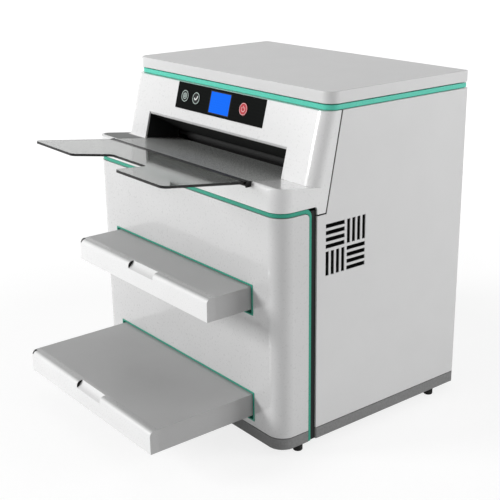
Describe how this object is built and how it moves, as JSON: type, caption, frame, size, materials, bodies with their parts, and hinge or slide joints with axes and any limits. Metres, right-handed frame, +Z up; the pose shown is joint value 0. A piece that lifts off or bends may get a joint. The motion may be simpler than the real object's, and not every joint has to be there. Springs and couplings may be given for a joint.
{
  "type": "medical film printer",
  "caption": "Desktop dry film printer: rounded white housing with film cassettes that slide out in front, a sloping exit shelf with a hinged smoked tray, and a leaning control panel.",
  "frame": {"origin": "on the floor under the feet, midway between the front of the drawn lower cassette and the back of the housing, on the middle plane", "axes": "+X to the right seen from the front, +Y to the back, +Z up"},
  "size_m": [0.526, 0.6044, 0.5771],
  "materials": {
    "white_gloss": "glossy injection-moulded white plastic",
    "side_grey": "light grey moulded plastic with a fine grain",
    "cassette_white": "off-white moulded plastic",
    "plinth_grey": "mid grey textured plastic",
    "teal_gloss": "teal moulded plastic",
    "black_plastic": "black moulded plastic",
    "panel_black": "black glossy panel film",
    "display_blue": "blue lit display behind a clear window",
    "button_red": "red lit key cap with a pale ring",
    "button_pale": "dark key cap with a pale ring",
    "smoked_sheet": "smoked transparent acrylic sheet, polished edges",
    "foot_rubber": "black rubber",
    "roller_rubber": "dark elastomer",
    "filter_foam": "black open foam",
    "sheet_steel": "zinc-plated sheet steel",
    "shaft_steel": "ground steel",
    "bush_bronze": "sintered bronze",
    "gear_plastic": "natural acetal",
    "motor_black": "black motor with steel end caps",
    "heat_sink": "black anodised extruded aluminium",
    "guide_black": "sheet steel with matt black conductive paint",
    "circuit_green": "green circuit board",
    "film_blue": "blue-tinted polyester film",
    "rear_grey": "light grey powder-coated sheet"
  },
  "bodies": {
    "housing": {"front_plinth": "plinth_grey", "body_plinth": "plinth_grey", "rubber_feet": "foot_rubber", "base_plate": "sheet_steel", "front_door": "white_gloss", "door_trim": "teal_gloss", "bay_frames": "teal_gloss", "front_frame": "black_plastic", "right_side_panel": "side_grey", "left_side_panel": "side_grey", "vent_filters": "filter_foam", "top_trim": "teal_gloss", "top_cover": "side_grey", "upper_fascia": "white_gloss", "control_panel": "panel_black", "display_screen": "display_blue", "key_board": "circuit_green", "slot_liner": "black_plastic", "film_guide_plate": "smoked_sheet", "tray_ears": "black_plastic", "cassette_rails": "sheet_steel", "chassis_plates": "sheet_steel", "roller_bushes": "bush_bronze", "guide_outer": "guide_black", "guide_inner": "guide_black", "drive_motor": "motor_black", "drive_belt": "roller_rubber", "print_head": "heat_sink", "power_supply": "sheet_steel", "control_board": "circuit_green", "fan_housing": "black_plastic", "mains_inlet": "black_plastic", "switch_bezel": "black_plastic", "rear_cover": "rear_grey", "rear_screws": "shaft_steel"},
    "upper_cassette": {"upper_tub": "cassette_white", "upper_lid": "side_grey", "upper_front": "cassette_white", "upper_film": "film_blue"},
    "lower_cassette": {"lower_tub": "cassette_white", "lower_lid": "side_grey", "lower_front": "cassette_white", "lower_film": "film_blue"},
    "tray": {"output_tray": "smoked_sheet", "tray_hinge_bar": "black_plastic"},
    "platen": {"platen_shaft": "shaft_steel", "platen_rubber": "roller_rubber", "platen_gear": "gear_plastic"},
    "motor_shaft": {"motor_pinion": "shaft_steel"},
    "exit_drive": {"exit_roller": "roller_rubber"},
    "exit_idle": {"exit_idler": "roller_rubber"},
    "feed_drive": {"feed_roller": "roller_rubber"},
    "feed_idle": {"feed_idler": "shaft_steel"},
    "upper_pick": {"upper_pick_roller": "roller_rubber"},
    "lower_pick": {"lower_pick_roller": "roller_rubber"},
    "fan": {"fan_rotor": "black_plastic"},
    "power_key": {"power_button": "button_red"},
    "menu_key": {"menu_button": "button_pale"},
    "select_key": {"select_button": "button_pale"},
    "rocker": {"power_switch": "black_plastic"}
  },
  "joints": [
    {"name": "upper_cassette_slide", "type": "slide", "parent": "housing", "child": "upper_cassette", "axis": [0, -1, 0], "range_m": [0, 0.2]},
    {"name": "lower_cassette_slide", "type": "slide", "parent": "housing", "child": "lower_cassette", "axis": [0, -1, 0], "range_m": [-0.112, 0.088]},
    {"name": "tray_hinge", "type": "hinge", "parent": "housing", "child": "tray", "pos_m": [0, -0.10781, 0.44489], "axis": [-1, 0, 0], "range_deg": [0, 115]},
    {"name": "platen_spin", "type": "hinge", "parent": "housing", "child": "platen", "pos_m": [0, 0.12368, 0.40432], "axis": [1, 0, 0], "continuous": true},
    {"name": "motor_spin", "type": "hinge", "parent": "housing", "child": "motor_shaft", "pos_m": [0, 0.08789, 0.38648], "axis": [1, 0, 0], "continuous": true},
    {"name": "exit_roller_spin", "type": "hinge", "parent": "housing", "child": "exit_drive", "pos_m": [0, 0.04408, 0.41783], "axis": [1, 0, 0], "continuous": true},
    {"name": "exit_idler_spin", "type": "hinge", "parent": "housing", "child": "exit_idle", "pos_m": [0, 0.04646, 0.43597], "axis": [1, 0, 0], "continuous": true},
    {"name": "feed_roller_spin", "type": "hinge", "parent": "housing", "child": "feed_drive", "pos_m": [0, 0.26625, 0.30354], "axis": [1, 0, 0], "continuous": true},
    {"name": "feed_idler_spin", "type": "hinge", "parent": "housing", "child": "feed_idle", "pos_m": [0, 0.28455, 0.30354], "axis": [1, 0, 0], "continuous": true},
    {"name": "upper_pick_spin", "type": "hinge", "parent": "housing", "child": "upper_pick", "pos_m": [0, 0.19525, 0.28], "axis": [1, 0, 0], "continuous": true},
    {"name": "lower_pick_spin", "type": "hinge", "parent": "housing", "child": "lower_pick", "pos_m": [0, 0.19525, 0.094], "axis": [1, 0, 0], "continuous": true},
    {"name": "fan_spin", "type": "hinge", "parent": "housing", "child": "fan", "pos_m": [0.12, 0.29625, 0.48614], "axis": [0, 1, 0], "continuous": true},
    {"name": "power_button_press", "type": "slide", "parent": "housing", "child": "power_key", "axis": [0, 0.9673, -0.2538], "range_m": [0, 0.0008], "stiffness_N_per_m": 400},
    {"name": "menu_button_press", "type": "slide", "parent": "housing", "child": "menu_key", "axis": [0, 0.9673, -0.2538], "range_m": [0, 0.0008], "stiffness_N_per_m": 400},
    {"name": "select_button_press", "type": "slide", "parent": "housing", "child": "select_key", "axis": [0, 0.9673, -0.2538], "range_m": [0, 0.0008], "stiffness_N_per_m": 400},
    {"name": "power_switch_rock", "type": "hinge", "parent": "housing", "child": "rocker", "pos_m": [-0.241, 0.29825, 0.154], "axis": [-1, 0, 0], "range_deg": [0, 16]}
  ],
  "couplings": [
    {"joint": "motor_spin", "follows": "platen_spin", "ratio": -3},
    {"joint": "exit_roller_spin", "follows": "platen_spin", "ratio": 1.3333},
    {"joint": "exit_idler_spin", "follows": "platen_spin", "ratio": -1.3333},
    {"joint": "feed_idler_spin", "follows": "feed_roller_spin", "ratio": -1}
  ]
}
